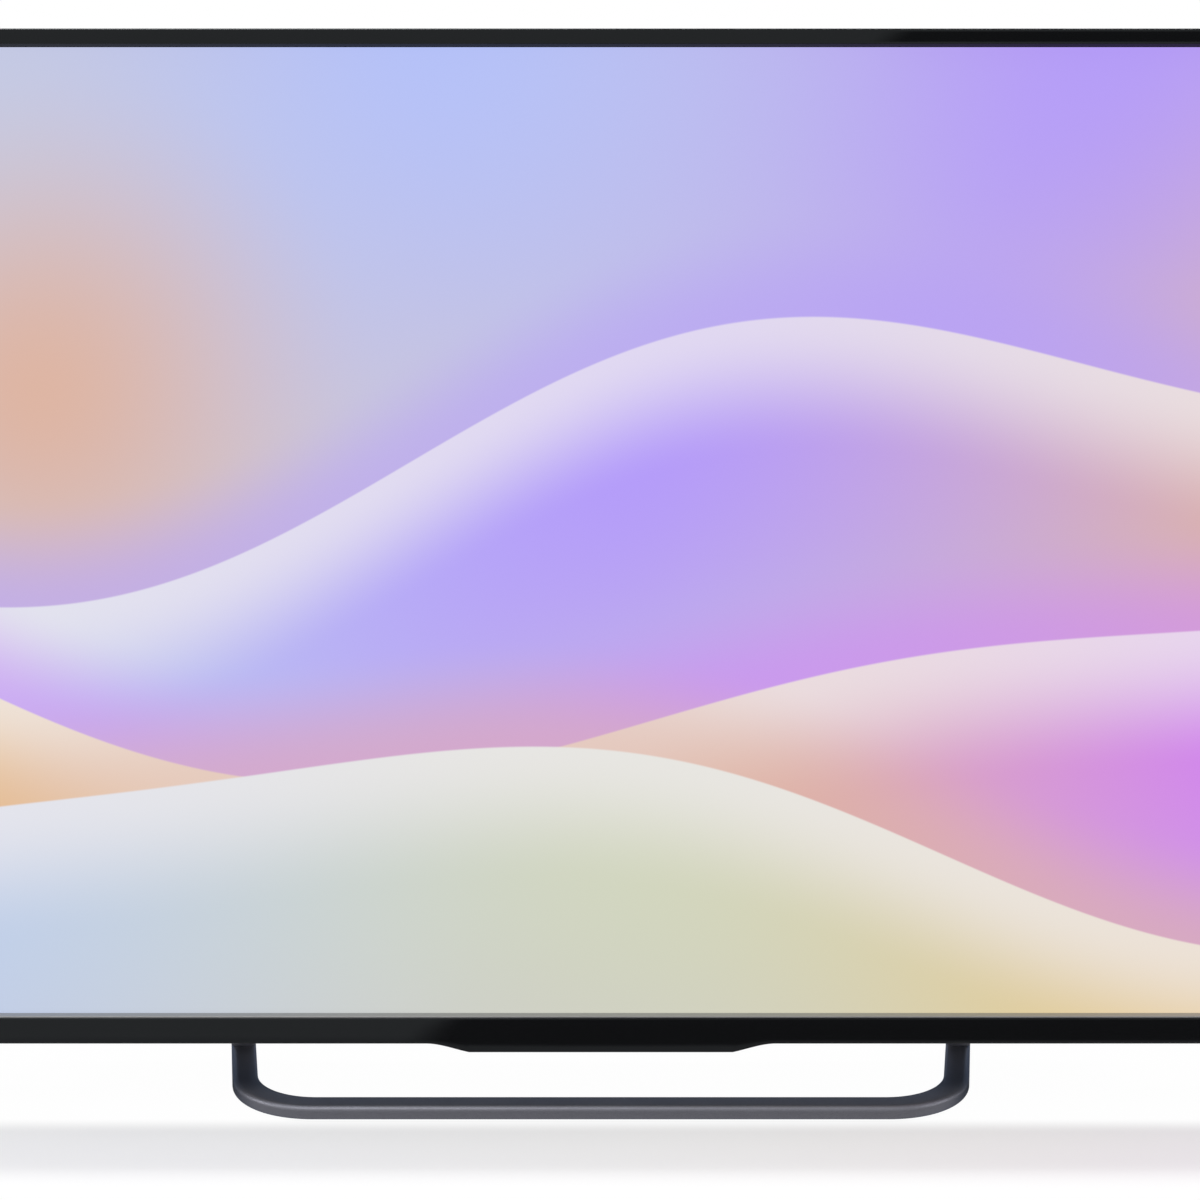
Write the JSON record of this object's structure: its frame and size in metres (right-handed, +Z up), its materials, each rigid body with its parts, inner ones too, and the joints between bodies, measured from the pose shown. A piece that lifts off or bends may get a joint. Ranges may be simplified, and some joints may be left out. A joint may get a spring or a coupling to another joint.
{
  "type": "flat screen tv",
  "caption": "Slim flat screen television: gloss bezel with a low chin, backlit display stack, rear hump with boards, sockets and press keys, and a flat bar hoop stand.",
  "frame": {"origin": "on the table under the middle of the stand's footprint", "axes": "+Z up, +X to the right for someone facing the screen, the screen faces -Y"},
  "size_m": [0.9606, 0.174, 0.59],
  "materials": {
    "gloss_black": "gloss",
    "satin_grey": "satin",
    "smoked_plastic": "gloss",
    "screen_glass": "matte",
    "black_moulding": "matte",
    "soft_black": "matte",
    "optical_sheet": "satin",
    "clear_lens": "gloss",
    "light_board": "satin",
    "zinc_steel": "satin",
    "green_board": "satin",
    "blue_board": "satin",
    "tan_board": "satin",
    "chip_black": "matte",
    "cast_aluminium": "satin",
    "winding": "satin",
    "ribbon_white": "satin",
    "socket_metal": "satin",
    "socket_brass": "satin",
    "socket_black": "satin",
    "speaker_paper": "matte",
    "key_black": "satin",
    "textured_black": "textured matte",
    "black_screw": "satin",
    "stand_paint": "satin metallic"
  },
  "bodies": {
    "set": {"front_bezel": "gloss_black", "lower_trim_strip": "satin_grey", "ir_window": "smoked_plastic", "ir_board": "green_board", "lip_gasket": "soft_black", "display_panel": "screen_glass", "panel_mid_frame": "black_moulding", "prism_film": "optical_sheet", "diffuser_film": "optical_sheet", "diffuser_plate": "optical_sheet", "diffuser_pegs": "optical_sheet", "reflector_sheet": "optical_sheet", "light_bars": "light_board", "light_bar_lenses": "clear_lens", "metal_chassis": "zinc_steel", "panel_driver_boards": "green_board", "board_standoffs": "zinc_steel", "board_screws": "zinc_steel", "main_board": "green_board", "main_chips": "chip_black", "heat_sink": "cast_aluminium", "timing_board": "blue_board", "panel_ribbon_cable": "ribbon_white", "wireless_module": "zinc_steel", "power_board": "tan_board", "power_transformer": "winding", "bulk_capacitors": "chip_black", "mains_choke": "winding", "mains_inlet": "socket_black", "video_sockets": "socket_metal", "data_sockets": "socket_metal", "card_slot": "socket_black", "tuner_can": "zinc_steel", "antenna_sockets": "socket_brass", "network_socket": "socket_metal", "optical_socket": "socket_black", "audio_jacks": "socket_black", "speaker_left": "black_moulding", "speaker_right": "black_moulding", "speaker_cones": "speaker_paper", "speaker_grommets": "soft_black", "keypad_board": "green_board", "rear_cover": "textured_black", "cover_screws": "black_screw", "wall_mount_posts": "zinc_steel", "stand_brackets": "zinc_steel", "stand_hoop": "stand_paint", "stand_legs": "stand_paint", "stand_screws": "zinc_steel", "foot_pads": "soft_black"},
    "key_power": {"key_power": "key_black"},
    "key_source": {"key_source": "key_black"},
    "key_menu": {"key_menu": "key_black"},
    "key_channel_up": {"key_channel_up": "key_black"},
    "key_channel_down": {"key_channel_down": "key_black"},
    "key_volume_up": {"key_volume_up": "key_black"},
    "key_volume_down": {"key_volume_down": "key_black"}
  },
  "joints": [
    {"name": "key_power_press", "type": "slide", "parent": "set", "child": "key_power", "axis": [-1, 0, 0], "range_m": [0, 0.0008], "stiffness_N_per_m": 400},
    {"name": "key_source_press", "type": "slide", "parent": "set", "child": "key_source", "axis": [-1, 0, 0], "range_m": [0, 0.0008], "stiffness_N_per_m": 400},
    {"name": "key_menu_press", "type": "slide", "parent": "set", "child": "key_menu", "axis": [-1, 0, 0], "range_m": [0, 0.0008], "stiffness_N_per_m": 400},
    {"name": "key_channel_up_press", "type": "slide", "parent": "set", "child": "key_channel_up", "axis": [-1, 0, 0], "range_m": [0, 0.0008], "stiffness_N_per_m": 400},
    {"name": "key_channel_down_press", "type": "slide", "parent": "set", "child": "key_channel_down", "axis": [-1, 0, 0], "range_m": [0, 0.0008], "stiffness_N_per_m": 400},
    {"name": "key_volume_up_press", "type": "slide", "parent": "set", "child": "key_volume_up", "axis": [-1, 0, 0], "range_m": [0, 0.0008], "stiffness_N_per_m": 400},
    {"name": "key_volume_down_press", "type": "slide", "parent": "set", "child": "key_volume_down", "axis": [-1, 0, 0], "range_m": [0, 0.0008], "stiffness_N_per_m": 400}
  ]
}
